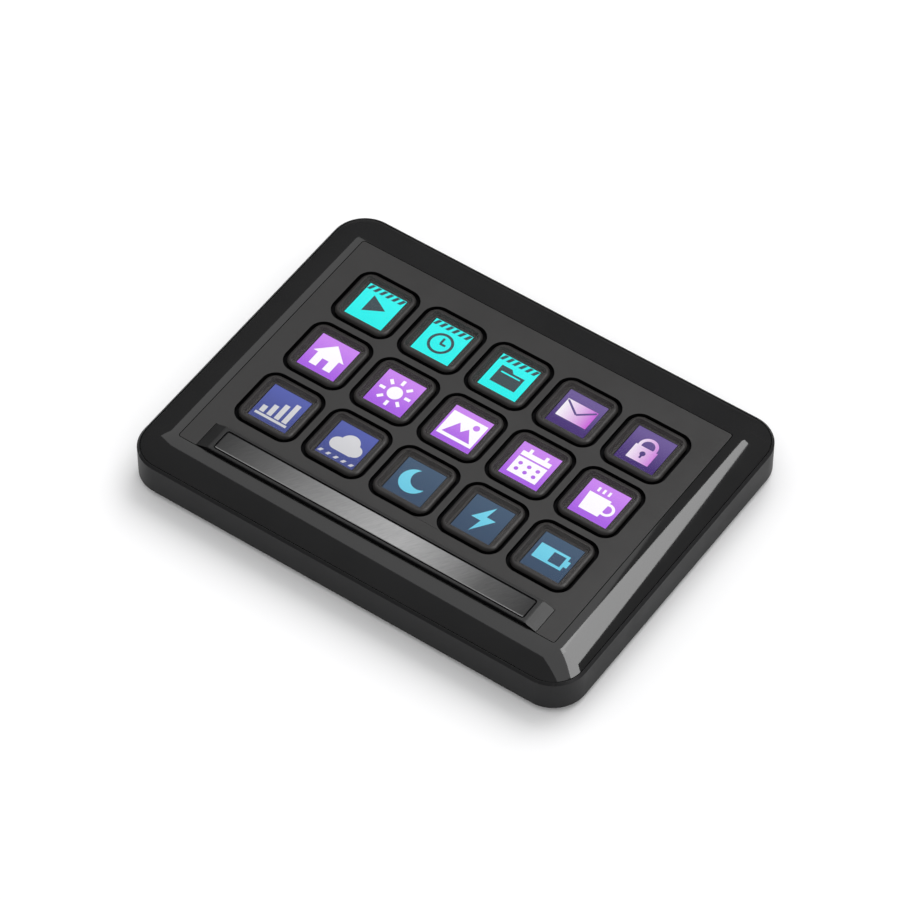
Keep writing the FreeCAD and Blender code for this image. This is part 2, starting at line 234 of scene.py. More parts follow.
def varyRoughness(tree, shader, factor, roughness):
    # the middle of a pattern's range is spread over two levels of gloss
    gloss = addNode(tree, "ShaderNodeMapRange", {
        "Value": factor, "From Min": 0.3, "From Max": 0.7, "To Min": roughness[0], "To Max": roughness[1]})
    tree.links.new(gloss.outputs["Result"], shader.inputs["Roughness"])


def addBump(tree, shader, height, strength, depth):
    bump = addNode(tree, "ShaderNodeBump", {"Height": height, "Strength": strength, "Distance": depth})
    tree.links.new(bump.outputs["Normal"], shader.inputs["Normal"])


def mouldedFinish(name, look):
    # moulded plastic: fine texture, slight mottle in colour and gloss, paler worn edges
    finish, tree, shader = newFinish(name)
    place = objectPlace(tree)
    grain = addNode(tree, "ShaderNodeTexNoise", {
        "Vector": place, "Scale": look["grainScale"], "Detail": 3.0, "Roughness": 0.6})
    mottle = addNode(tree, "ShaderNodeTexNoise", {
        "Vector": place, "Scale": look["mottleScale"], "Detail": 4.0, "Roughness": 0.55})
    tone = colourRamp(tree, mottle.outputs["Fac"], [(0.35, look["deep"]), (0.65, look["pale"])])
    if "wear" in look:
        edge = addNode(tree, "ShaderNodeNewGeometry").outputs["Pointiness"]
        worn = colourRamp(tree, edge, [(0.52, (0, 0, 0)), (0.60, (1, 1, 1))])
        amount = addNode(tree, "ShaderNodeMath", {0: worn, 1: look["wear"]}, operation="MULTIPLY")
        tone = addNode(tree, "ShaderNodeMixRGB", {
            "Fac": amount.outputs["Value"], "Color1": tone,
            "Color2": (*look["wornColour"], 1)}).outputs["Color"]
    tree.links.new(tone, shader.inputs["Base Color"])
    varyRoughness(tree, shader, mottle.outputs["Fac"], look["roughness"])
    addBump(tree, shader, grain.outputs["Fac"], look["bumpStrength"], look["bumpDepth"])
    shader.inputs["IOR"].default_value = look["ior"]
    return finish


trayLook = {"deep": (0.0042, 0.0042, 0.0044), "pale": (0.0054, 0.0054, 0.0056),
            "roughness": (0.42, 0.5), "ior": 1.25, "grainScale": 2600.0, "mottleScale": 90.0,
            "bumpStrength": 0.35, "bumpDepth": 0.00002, "wear": 0.25, "wornColour": (0.04, 0.04, 0.042)}
shoulderLook = {"deep": (0.0166, 0.0166, 0.0169), "pale": (0.0184, 0.0184, 0.0187),
                "roughness": (0.045, 0.06), "ior": 1.5, "grainScale": 1500.0, "mottleScale": 60.0,
                "bumpStrength": 0.06, "bumpDepth": 0.00001}
faceLook = {"deep": (0.0198, 0.0188, 0.0185), "pale": (0.0238, 0.0228, 0.0225),
            "roughness": (0.36, 0.44), "ior": 1.4, "grainScale": 3200.0, "mottleScale": 120.0,
            "bumpStrength": 0.45, "bumpDepth": 0.00002, "wear": 0.2, "wornColour": (0.06, 0.06, 0.06)}
barLook = {"deep": (0.012, 0.012, 0.0122), "pale": (0.0145, 0.0145, 0.0147),
           "roughness": (0.45, 0.51), "ior": 1.5, "grainScale": 2400.0, "mottleScale": 110.0,
           "bumpStrength": 0.25, "bumpDepth": 0.00001}
capLook = {"deep": (0.0238, 0.0221, 0.0215), "pale": (0.0280, 0.0260, 0.0254),
           "roughness": (0.38, 0.46), "ior": 1.4, "grainScale": 2600.0, "mottleScale": 300.0,
           "bumpStrength": 0.2, "bumpDepth": 0.00001}
# paler than the cap plastic: painted light that offsets the shade in the caps' sunk borders and window walls
borderPaintedLightLook = {"deep": (0.0385, 0.0355, 0.0345), "pale": (0.0445, 0.0415, 0.0405),
              "roughness": (0.5, 0.6), "ior": 1.2, "grainScale": 2600.0, "mottleScale": 300.0,
              "bumpStrength": 0.2, "bumpDepth": 0.00001}
rubberLook = {"deep": (0.012, 0.012, 0.012), "pale": (0.02, 0.02, 0.02),
              "roughness": (0.7, 0.85), "ior": 1.5, "grainScale": 1800.0, "mottleScale": 150.0,
              "bumpStrength": 0.5, "bumpDepth": 0.00003, "wear": 0.3, "wornColour": (0.05, 0.05, 0.05)}
siliconeLook = {"deep": (0.16, 0.16, 0.165), "pale": (0.2, 0.2, 0.205),
                "roughness": (0.5, 0.6), "ior": 1.5, "grainScale": 1500.0, "mottleScale": 100.0,
                "bumpStrength": 0.2, "bumpDepth": 0.00002, "wear": 0.1, "wornColour": (0.3, 0.3, 0.3)}
chipLook = {"deep": (0.010, 0.010, 0.011), "pale": (0.016, 0.016, 0.017),
            "roughness": (0.4, 0.55), "ior": 1.5, "grainScale": 4000.0, "mottleScale": 300.0,
            "bumpStrength": 0.4, "bumpDepth": 0.00001, "wear": 0.2, "wornColour": (0.06, 0.06, 0.06)}
# near-black plastic: the display modules' and the socket tongue's own colour, and also painted shade on the key
# windows' walls, the bar's front face and the caps' skirts and flanges
blackAndShadeLook = {"deep": (0.0035, 0.0035, 0.004), "pale": (0.005, 0.005, 0.0055),
              "roughness": (0.5, 0.6), "ior": 1.12, "grainScale": 2000.0, "mottleScale": 300.0,
              "bumpStrength": 0.1, "bumpDepth": 0.00001}

trayPlastic = mouldedFinish("trayPlastic", trayLook)
shoulderPlastic = mouldedFinish("shoulderPlastic", shoulderLook)
facePlastic = mouldedFinish("facePlastic", faceLook)
barPlastic = mouldedFinish("barPlastic", barLook)
capPlastic = mouldedFinish("capPlastic", capLook)
borderPaintedLightPlastic = mouldedFinish("borderPaintedLightPlastic", borderPaintedLightLook)
footRubber = mouldedFinish("footRubber", rubberLook)
matSilicone = mouldedFinish("matSilicone", siliconeLook)
chipResin = mouldedFinish("chipResin", chipLook)
blackPlasticAndShade = mouldedFinish("blackPlasticAndShade", blackAndShadeLook)


def brushedFinish(name, look):
    # metal with fine lines drawn along one direction
    finish, tree, shader = newFinish(name)
    place = objectPlace(tree)
    drawn = addNode(tree, "ShaderNodeMapping", {
        "Vector": place, "Rotation": look["turn"], "Scale": look["stretch"]}, vector_type="TEXTURE")
    lines = addNode(tree, "ShaderNodeTexNoise", {
        "Vector": drawn.outputs["Vector"], "Scale": look["lineScale"], "Detail": 5.0, "Roughness": 0.7})
    tone = colourRamp(tree, lines.outputs["Fac"], [(0.3, look["deep"]), (0.7, look["pale"])])
    if "paintedSheen" in look:
        # painted sheen: paler towards the middle of its length, standing in for a light's reflection on the brushed
        # metal
        along = addNode(tree, "ShaderNodeSeparateXYZ", {"Vector": place})
        share = addNode(tree, "ShaderNodeMapRange", {
            "Value": along.outputs["X"], "From Min": -look["halfLength"], "From Max": look["halfLength"]})
        paintedSheen = colourRamp(tree, share.outputs["Result"],
                           [(position, (level,) * 3) for position, level in look["paintedSheen"]])
        tone = addNode(tree, "ShaderNodeMixRGB", {"Fac": 1.0, "Color1": tone, "Color2": paintedSheen},
                       blend_type="MULTIPLY").outputs["Color"]
    tree.links.new(tone, shader.inputs["Base Color"])
    varyRoughness(tree, shader, lines.outputs["Fac"], look["roughness"])
    addBump(tree, shader, lines.outputs["Fac"], look["bumpStrength"], look["bumpDepth"])
    shader.inputs["Metallic"].default_value = look["metallic"]
    return finish


nameplateLook = {"turn": (0, 0, math.radians(55)), "stretch": (8.0, 1.0, 1.0), "lineScale": 2600.0,
                 "deep": (0.76, 0.76, 0.77), "pale": (1.0, 1.0, 1.0), "roughness": (0.34, 0.46),
                 "bumpStrength": 0.4, "bumpDepth": 0.00001, "metallic": 0.95, "halfLength": 0.0476,
                 # paintedSheen stops: a painted highlight, bright in the middle of the strip and dark at its ends
                 "paintedSheen": [(0.04, 0.075), (0.185, 0.18), (0.342, 0.36), (0.5, 0.53),
                           (0.584, 0.56), (0.658, 0.45), (0.815, 0.152), (0.96, 0.058)]}
# the pale grey of the nameplate's front edge band is a painted highlight
edgeHighlightLook = {"turn": (0, 0, 0), "stretch": (5.0, 1.0, 1.0), "lineScale": 3000.0,
            "deep": (0.16, 0.16, 0.16), "pale": (0.22, 0.22, 0.22), "roughness": (0.5, 0.6),
            "bumpStrength": 0.1, "bumpDepth": 0.00001, "metallic": 0.0}
socketLook = {"turn": (0, 0, 0), "stretch": (1.0, 10.0, 1.0), "lineScale": 4000.0,
              "deep": (0.36, 0.36, 0.37), "pale": (0.55, 0.55, 0.56), "roughness": (0.22, 0.36),
              "bumpStrength": 0.2, "bumpDepth": 0.00001, "metallic": 1.0}
screwLook = {"turn": (0, 0, 0), "stretch": (1.0, 1.0, 5.0), "lineScale": 3000.0,
             "deep": (0.05, 0.05, 0.052), "pale": (0.1, 0.1, 0.105), "roughness": (0.3, 0.45),
             "bumpStrength": 0.2, "bumpDepth": 0.00001, "metallic": 1.0}
contactLook = {"turn": (0, 0, 0), "stretch": (1.0, 5.0, 1.0), "lineScale": 5000.0,
               "deep": (0.75, 0.5, 0.18), "pale": (0.9, 0.64, 0.26), "roughness": (0.25, 0.35),
               "bumpStrength": 0.1, "bumpDepth": 0.00001, "metallic": 1.0}
nameplateMetal = brushedFinish("nameplateMetal", nameplateLook)
paintedEdgeHighlight = brushedFinish("paintedEdgeHighlight", edgeHighlightLook)
socketMetal = brushedFinish("socketMetal", socketLook)
screwSteel = brushedFinish("screwSteel", screwLook)
contactGold = brushedFinish("contactGold", contactLook)

boardLook = {"trackScale": 420.0, "mask": (0.012, 0.05, 0.03), "track": (0.02, 0.08, 0.045),
             "roughness": 0.35, "bumpStrength": 0.3, "bumpDepth": 0.00002}


def boardFinish(name, look):
    # dark solder mask with tracks just showing through it
    finish, tree, shader = newFinish(name)
    tracks = addNode(tree, "ShaderNodeTexVoronoi", {
        "Vector": objectPlace(tree), "Scale": look["trackScale"]}, distance="MANHATTAN")
    tone = colourRamp(tree, tracks.outputs["Distance"], [(0.2, look["mask"]), (0.5, look["track"])])
    tree.links.new(tone, shader.inputs["Base Color"])
    addBump(tree, shader, tracks.outputs["Distance"], look["bumpStrength"], look["bumpDepth"])
    shader.inputs["Roughness"].default_value = look["roughness"]
    return finish


boardMask = boardFinish("boardMask", boardLook)

paneLook = {"tint": (0.97, 0.97, 0.97), "hazeScale": 300.0, "roughness": (0.015, 0.03), "ior": 1.12}


def clearFinish(name, look):
    finish, tree, shader = newFinish(name)
    haze = addNode(tree, "ShaderNodeTexNoise", {
        "Vector": objectPlace(tree), "Scale": look["hazeScale"], "Detail": 2.0})
    varyRoughness(tree, shader, haze.outputs["Fac"], look["roughness"])
    shader.inputs["Base Color"].default_value = (*look["tint"], 1)
    shader.inputs["Transmission Weight"].default_value = 1.0
    shader.inputs["IOR"].default_value = look["ior"]
    return finish


paneClear = clearFinish("paneClear", paneLook)

dotGrid = {"Scale": 72.0, "Color1": (1, 1, 1, 1), "Color2": (0.96, 0.96, 0.96, 1),
           "Mortar": (0.8, 0.8, 0.8, 1), "Mortar Size": 0.08, "Brick Width": 1.0, "Row Height": 1.0}


def litFinish(name, start, end, run="Y"):
    # a lit screen: a gradient over each tile's own map, with a fine dot grid
    finish, tree, shader = newFinish(name)
    place = addNode(tree, "ShaderNodeUVMap", uv_map="tile").outputs["UV"]
    split = addNode(tree, "ShaderNodeSeparateXYZ", {"Vector": place})
    tone = colourRamp(tree, split.outputs[run], [(0.1, start), (0.9, end)])
    dots = addNode(tree, "ShaderNodeTexBrick", {"Vector": place, **dotGrid}, offset=0.0)
    shown = addNode(tree, "ShaderNodeMixRGB", {
        "Fac": 1.0, "Color1": tone, "Color2": dots.outputs["Color"]}, blend_type="MULTIPLY")
    tree.links.new(shown.outputs["Color"], shader.inputs["Emission Color"])
    shader.inputs["Emission Strength"].default_value = 1.0
    shader.inputs["Base Color"].default_value = (0.004, 0.004, 0.004, 1)
    shader.inputs["Roughness"].default_value = 0.9
    shader.inputs["Specular IOR Level"].default_value = 0.0
    return finish


def tint(red, green, blue):
    # a screen colour as seen, from 0 to 255, to the renderer's own scale; above 255 it glows through the pane
    return tuple((value / 255) ** 2.2 for value in (red, green, blue))


# Each colour runs from the front of the tile to its back, or from left to right where "run" is X
screenLooks = {
    "aqua": {"tile": (tint(52, 250, 246), tint(64, 255, 252)),
             "mark": (tint(70, 82, 88), tint(76, 88, 94)), "run": "Y"},
    "dusk": {"tile": (tint(78, 58, 122), tint(116, 98, 158)),
             "mark": (tint(258, 254, 260), tint(208, 100, 224)), "run": "X"},
    "violet": {"tile": (tint(176, 104, 238), tint(212, 142, 252)),
               "mark": (tint(264, 260, 267), tint(270, 268, 270)), "run": "Y"},
    "indigo": {"tile": (tint(76, 84, 144), tint(92, 102, 178)),
               "mark": (tint(210, 210, 214), tint(224, 224, 228)), "run": "Y"},
    "slate": {"tile": (tint(66, 84, 108), tint(76, 96, 120)),
              "mark": (tint(112, 206, 234), tint(126, 222, 246)), "run": "Y"},
}
screenFinishes = {tone: (litFinish(tone + "Tile", *look["tile"]),
                         litFinish(tone + "Mark", *look["mark"], look["run"]))
                  for tone, look in screenLooks.items()}
print("finishes ready,", len(bpy.data.materials), "in all")


# Upper housing: convex shoulder with tight corners at the face that open out to the seam

upperShape = {"faceCorner": 0.6, "seamCorner": 7.85, "arcSteps": 18, "cornerSteps": 28, "seatFit": 0.2,
              "plateThickness": 1.2, "ledgeWidth": 2.5, "ledgeThickness": 1.6, "ledgeCorner": 0.3,
              "tongueCorner": 6.3, "tongueFit": 0.2, "tongueThickness": 1.2, "tongueDepth": 1.2,
              "trayWall": 2.2, "blockSink": 0.2,
              "column": {"inset": 5.0, "half": 2.8, "low": 7.1, "edge": 0.15},
              "clamp": {"out": 51.25, "half": (0.7, 4.0), "low": 7.15, "edge": 0.15, "places": (-0.3, 0.3)},
              "catch": {"half": 4.5, "reach": 0.7, "root": 0.3, "height": 0.8, "edge": 0.12,
                        "places": (-0.6, 0.0, 0.6)}}


def buildUpperHousing(shape):
    bm = bmesh.new()
    plateWidth, plateDepth = plateHigh.x - plateLow.x, plateHigh.y - plateLow.y
    upperWidth, upperDepth = upperHigh.x - upperLow.x, upperHigh.y - upperLow.y
    run = (upperWidth - plateWidth) / 2
    drop = plateTop - lipTop
    arcRadius = (run ** 2 + drop ** 2) / (2 * drop)
    fullTurn = math.asin(run / arcRadius)
    innerWidth = trayHigh.x - trayLow.x - 2 * shape["trayWall"]
    innerDepth = trayHigh.y - trayLow.y - 2 * shape["trayWall"]
    skirtLow = upperLow.z + shape["tongueDepth"]
    ledgeTop = plateHigh.z - shape["plateThickness"]
    ledgeLow = ledgeTop - shape["ledgeThickness"]
    ledge = 2 * shape["ledgeWidth"]
    fit = 2 * shape["seatFit"]
    opening = (plateWidth - ledge, plateDepth - ledge, shape["ledgeCorner"])
    plan = [(*opening, ledgeTop)]
    for z in (ledgeTop, plateTop):
        plan.append((plateWidth + fit, plateDepth + fit, shape["faceCorner"] + shape["seatFit"], z))
    for step in range(1, shape["arcSteps"] + 1):
        turn = fullTurn * step / shape["arcSteps"]
        share = arcRadius * math.sin(turn) / run
        width = plateWidth + share * (upperWidth - plateWidth)
        depth = plateDepth + share * (upperDepth - plateDepth)
        corner = shape["faceCorner"] + share * (shape["seamCorner"] - shape["faceCorner"])
        plan.append((width, depth, corner, plateTop - arcRadius * (1 - math.cos(turn))))
    plan.append((upperWidth, upperDepth, shape["seamCorner"], skirtLow))
    tongueCorner = shape["tongueCorner"]
    tongueWidth = innerWidth - 2 * shape["tongueFit"]
    tongueDepth = innerDepth - 2 * shape["tongueFit"]
    for z in (skirtLow, upperLow.z):
        plan.append((tongueWidth, tongueDepth, tongueCorner, z))
    thick = 2 * shape["tongueThickness"]
    for z in (upperLow.z, ledgeLow):
        plan.append((tongueWidth - thick, tongueDepth - thick, tongueCorner - shape["tongueThickness"], z))
    plan.append((*opening, ledgeLow))
    ringChain(bm, plan, shape["cornerSteps"], closed=True)
    # screw columns and the clamps that hold the board
    column, clamp, catch = shape["column"], shape["clamp"], shape["catch"]
    blockTop = ledgeLow + shape["blockSink"]
    for side in (-1, 1):
        x, y = side * (innerWidth / 2 - column["inset"]), innerDepth / 2 - column["inset"]
        half = column["half"]
        block(bm, (x - half, y - half, column["low"]), (x + half, y + half, blockTop), column["edge"])
        halfX, halfY = clamp["half"]
        for share in clamp["places"]:
            x, y = side * clamp["out"], share * innerDepth
            block(bm, (x - halfX, y - halfY, clamp["low"]), (x + halfX, y + halfY, blockTop), clamp["edge"])
    # catches along the front of the tongue
    for share in catch["places"]:
        x, y = share * innerWidth / 2, -innerDepth / 2 + shape["tongueFit"]
        block(bm, (x - catch["half"], y - catch["reach"], upperLow.z),
              (x + catch["half"], y + catch["root"], upperLow.z + catch["height"]), catch["edge"])
    return makePiece("upperHousingShell", bm, "housing", [shoulderPlastic], sharpAngle=40)


upperShell = buildUpperHousing(upperShape)
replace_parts(upperShell, "upper_housing")
print("upper housing made,", len(upperShell.data.polygons), "faces")


# Tray, faceplate, bar and the other fixed parts keep their solids' forms, with softened edges

edgeSoftness = {"tray": 0.22, "faceplate": 0.12, "bar": 0.12, "feet": 0.3, "socket": 0.06}
# faces given the near-black finish: the key windows' walls and the bar's front face as painted shade, the socket's
# tongue as its own black plastic
blackFaces = {"wallSlope": 0.3, "plateRim": 3, "frontSlope": -0.8,
              "tongueHalfWidth": 3.45, "tongueHalfHeight": 0.45, "tongueRoot": 0.35}


def windowWallShade(centre, normal):
    return (abs(normal.z) < blackFaces["wallSlope"] and centre.y > barHigh.y
            and abs(centre.x) < plateHigh.x - blackFaces["plateRim"])


def barFrontShade(centre, normal):
    return normal.y < blackFaces["frontSlope"]


def socketTongue(centre, normal):
    return (abs(centre.x) < blackFaces["tongueHalfWidth"]
            and abs(centre.z - socketMiddle) < blackFaces["tongueHalfHeight"]
            and centre.y > socketLow.y + blackFaces["tongueRoot"])


socketLow, socketHigh = boxMm("back_socket")
socketMiddle = (socketLow.z + socketHigh.z) / 2
dressedNode("base_tray", "trayShell", [trayPlastic], edgeSoftness["tray"], 3)
facePanel = dressedNode("faceplate", "facePanel", [facePlastic, blackPlasticAndShade],
                        edgeSoftness["faceplate"], 2)
# the key windows' walls take the near-black finish: painted shade deep in the windows
useSecondFinish(facePanel, windowWallShade)
barBody = dressedNode("front_bar", "frontBarBody", [barPlastic, blackPlasticAndShade],
                      edgeSoftness["bar"], 3)
# the bar's front face takes the near-black finish: painted shade under the bar's front edge
useSecondFinish(barBody, barFrontShade)
dressedNode("rubber_feet", "footStrips", [footRubber], edgeSoftness["feet"], 3)
socket = dressedNode("back_socket", "socketShell", [socketMetal, blackPlasticAndShade],
                     edgeSoftness["socket"], 2)
useSecondFinish(socket, socketTongue)


contactShape = {"count": 6, "pitch": 1.0, "width": 0.35, "length": 3.2, "rise": 0.04, "sink": 0.01,
                "tipInset": 0.3, "tongue": (0.7, 5.2)}


def buildContacts(shape):
    bm = bmesh.new()
    thick, reach = shape["tongue"]
    halfWidth, halfHeight = shape["width"] / 2, shape["rise"] / 2
    y = socketLow.y + reach - shape["tipInset"]
    for n in range(shape["count"]):
        x = (n - (shape["count"] - 1) / 2) * shape["pitch"]
        for side in (-1, 1):
            z = socketMiddle + side * (thick + shape["rise"]) / 2
            block(bm, (x - halfWidth, y - shape["length"], z - halfHeight - shape["sink"]),
                  (x + halfWidth, y, z + halfHeight + shape["sink"]))
    return makePiece("socketContacts", bm, "housing", [contactGold])


buildContacts(contactShape)
print("fixed parts dressed")


# Nameplate: a bare brushed strip with a dark line round it and a painted highlight along its front edge

nameplateShape = {"corner": 0.6, "edge": 0.05, "darkLine": 0.26, "highlightLine": 0.18, "frontBand": 1,
                  "cornerSteps": 6}


def buildNameplate(shape):
    bm = bmesh.new()
    low, high = boxMm("nameplate")
    width, depth = high.x - low.x, high.y - low.y
    x, y = middle(low, high)
    bothLines = shape["darkLine"] + shape["highlightLine"]
    steps = ((0.0, low.z), (0.0, high.z - shape["edge"]), (shape["edge"], high.z),
             (shape["darkLine"], high.z), (bothLines, high.z))
    plan = [(width - 2 * inset, depth - 2 * inset, shape["corner"] - inset, z) for inset, z in steps]
    ringChain(bm, plan, shape["cornerSteps"], x, y)
    for face in bm.faces:
        centre = face.calc_center_median()
        gap = min(width / 2 - abs(centre.x - x), depth / 2 - abs(centre.y - y))
        if gap < shape["darkLine"]:
            face.material_index = 2
        # a pale band along the front edge: painted highlight where the plate's edge catches the light
        elif gap < bothLines and centre.y < y - depth / 2 + shape["frontBand"]:
            face.material_index = 1
    return makePiece("nameplateStrip", bm, "housing", [nameplateMetal, paintedEdgeHighlight, blackPlasticAndShade])


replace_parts(buildNameplate(nameplateShape), "nameplate")
print("nameplate made")


# Screws with a six-sided recess in the head

screwShape = {"headRadius": 2.0, "headHeight": 1.4, "shankRadius": 1.1, "recessRadius": 0.95,
              "recessDepth": 0.8, "segments": 36, "headEdge": 0.25, "rimRadius": 1.9, "rimAngle": 60}


def buildScrews(shape):
    bm = bmesh.new()
    low, high = boxMm("housing_screws")
    headRadius, recessRadius = shape["headRadius"], shape["recessRadius"]
    out, y = high.x - headRadius, (low.y + high.y) / 2
    for side in (-1, 1):
        x = side * out
        headTop = low.z + shape["headHeight"]
        made = bmesh.ops.create_circle(
            bm, segments=shape["segments"], radius=recessRadius, cap_ends=True,
            matrix=Matrix.Translation((x, y, low.z + shape["recessDepth"])))
        for vert in made["verts"]:
            # pulls the round recess out to a hexagon
            across = Vector((vert.co.x - x, vert.co.y - y))
            turn = math.atan2(across.y, across.x) % (math.pi / 3) - math.pi / 6
            across *= math.cos(math.pi / 6) / math.cos(turn)
            vert.co.x, vert.co.y = x + across.x, y + across.y
        ring = list({edge for vert in made["verts"] for edge in vert.link_edges})
        radius = recessRadius
        for nextRadius, z in ((radius, low.z), (headRadius, low.z), (headRadius, headTop),
                              (shape["shankRadius"], headTop), (shape["shankRadius"], high.z)):
            ring, verts = extrudeRing(bm, ring)
            for vert in verts:
                across = Vector((vert.co.x - x, vert.co.y - y))
                if nextRadius != radius:
                    across = across.normalized() * nextRadius
                vert.co = (x + across.x, y + across.y, z)
            radius = nextRadius
        bmesh.ops.edgeloop_fill(bm, edges=ring)
    bmesh.ops.recalc_face_normals(bm, faces=bm.faces)
    rims = [edge for edge in bm.edges if len(edge.link_faces) == 2
            and edge.calc_face_angle() > math.radians(shape["rimAngle"])
            and all(math.hypot(abs(v.co.x) - out, v.co.y - y) > shape["rimRadius"] for v in edge.verts)]
    roundEdges(bm, rims, shape["headEdge"], 3)
    return makePiece("housingScrewPair", bm, "housing", [screwSteel])


screwPair = buildScrews(screwShape)
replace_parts(screwPair, "housing_screws")


def refinish(node, finish):
    # a node that keeps its own solid gets a better finish
    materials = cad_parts[node].data.materials
    materials.clear()
    materials.append(finish)


refinish("main_board", boardMask)
refinish("board_chips", chipResin)
print("screws and board done")


# Key mat: a sheet, and one collar under each key, built fixed though the real one gives when the key goes down

matShape = {"sheetThickness": 0.6, "sheetEdge": 0.15, "collarWall": 1.0, "collarTaper": 0.8,
            "topSize": 16.8, "corner": 1.2, "cornerSteps": 5}
matLow, matHigh = boxMm("key_mat")
keyNames = [f"r{row + 1}_c{column + 1}" for row in range(rowCount) for column in range(columnCount)]


def buildMatSheet(shape):
    bm = bmesh.new()
    block(bm, matLow, (matHigh.x, matHigh.y, matLow.z + shape["sheetThickness"]), shape["sheetEdge"])
    return makePiece("keyMatSheet", bm, "housing", [matSilicone])


def buildCollar(name, x, y, shape):
    bm = bmesh.new()
    low, high = matLow.z + shape["sheetThickness"], matHigh.z
    lowSize, topSize = shape["topSize"] + 2 * shape["collarTaper"], shape["topSize"]
    wall = 2 * shape["collarWall"]
    rings = ((lowSize, low), (topSize, high), (topSize - wall, high), (lowSize - wall, low))
    plan = [(size, size, shape["corner"], z) for size, z in rings]
    ringChain(bm, plan, shape["cornerSteps"], x, y, closed=True)
    piece = makePiece("matCollar_" + name, bm, "housing", [matSilicone])
    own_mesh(piece)


matSheet = buildMatSheet(matShape)
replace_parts(matSheet, "key_mat")
for name in keyNames:
    buildCollar(name, *middle(*boxMm("key_cap_" + name)), matShape)
print("key mat made")


# Key caps: a dark rim with rounded edges, a thin clear pane in it and a border sunk round the screen

capShape = {"size": 15.5, "corner": 2.9, "edge": 0.8, "edgeSteps": 6, "cornerSteps": 8,
            "flange": 0.75, "flangeCorner": 0.3, "pocket": 12.6, "window": 13.2, "windowCorner": 1.2,
            "windowFoot": 12.2, "footCorner": 0.7, "opening": 11.0, "openingCorner": 0.2,
            "borderTop": 12.28, "borderLow": 12.17, "darkBelow": 12.2, "darkMargin": 0.5,
            "rimMargin": 0.2, "paneThickness": 0.4, "paneSink": 0.03, "paneSeat": 0.06}


def buildCap(name, shape):
    low, high = boxMm("key_cap_" + name)
    x, y = middle(low, high)
    flangeSize, flangeTop = high.x - low.x, low.z + shape["flange"]
    steps = shape["cornerSteps"]
    borderTop, borderLow = shape["borderTop"], shape["borderLow"]
    size, opening, window, pocket = shape["size"], shape["opening"], shape["window"], shape["pocket"]
    profile = [(pocket, shape["flangeCorner"], low.z),
               (flangeSize, shape["flangeCorner"], low.z),
               (flangeSize, shape["flangeCorner"], flangeTop),
               (size, shape["corner"], flangeTop),
               (size, shape["corner"], high.z),
               (window, shape["windowCorner"], high.z),
               (shape["windowFoot"], shape["footCorner"], borderTop),
               (opening, shape["openingCorner"], borderTop),
               (opening, shape["openingCorner"], borderLow),
               (pocket, shape["flangeCorner"], borderLow)]
    bm = bmesh.new()
    ringChain(bm, [(side, side, corner, z) for side, corner, z in profile], steps, x, y, closed=True)

    def reach(place):
        return max(abs(place.x - x), abs(place.y - y))

    rimOut = window / 2 + shape["rimMargin"]
    outer = [edge for edge in bm.edges
             if all(abs(v.co.z - high.z) < 0.001 and reach(v.co) > rimOut for v in edge.verts)]
    roundEdges(bm, outer, shape["edge"], shape["edgeSteps"])
    for face in bm.faces:
        centre = face.calc_center_median()
        if centre.z < shape["darkBelow"] and reach(centre) > opening / 2 + shape["darkMargin"]:
            face.material_index = 1  # skirt and flange get the near-black finish: painted shade for the deep gap round the cap
        elif reach(centre) < window / 2 + 0.01 and centre.z < high.z - 0.01:
            face.material_index = 2  # sunk border and its walls, paler than the rim: painted light that offsets the shade in the recess
    piece = makePiece("capFrame_" + name, bm, "key_" + name, [capPlastic, blackPlasticAndShade, borderPaintedLightPlastic])
    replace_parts(piece, "key_cap_" + name)
    pane = bmesh.new()
    paneSize = window + 2 * shape["paneSeat"]
    paneTop = high.z - shape["paneSink"]
    levels = (paneTop - shape["paneThickness"], paneTop)
    ringChain(pane, [(paneSize, paneSize, shape["windowCorner"], z) for z in levels], steps, x, y)
    clear = makePiece("capPane_" + name, pane, "key_" + name, [paneClear])
    clear.visible_shadow = False
    clear.visible_diffuse = False
    return x, y


# Screens: a lit tile under each pane with a plain mark on it

keyMarks = {
    "r1_c1": ("aqua", "play"), "r1_c2": ("aqua", "clock"), "r1_c3": ("aqua", "folder"),
    "r1_c4": ("dusk", "envelope"), "r1_c5": ("dusk", "padlock"),
    "r2_c1": ("violet", "house"), "r2_c2": ("violet", "sun"), "r2_c3": ("violet", "picture"),
    "r2_c4": ("violet", "calendar"), "r2_c5": ("violet", "mug"),
    "r3_c1": ("indigo", "chart"), "r3_c2": ("indigo", "cloud"), "r3_c3": ("slate", "moon"),
    "r3_c4": ("slate", "bolt"), "r3_c5": ("slate", "battery"),
}


def rectangle(left, low, right, high):
    # the four corners of an upright rectangle
    return ("poly", (left, low), (right, low), (right, high), (left, high))


def ray(turn, start, end, width):
    # a bar that points away from the middle
    return ("bar", start * math.cos(turn), start * math.sin(turn), end * math.cos(turn), end * math.sin(turn), width)


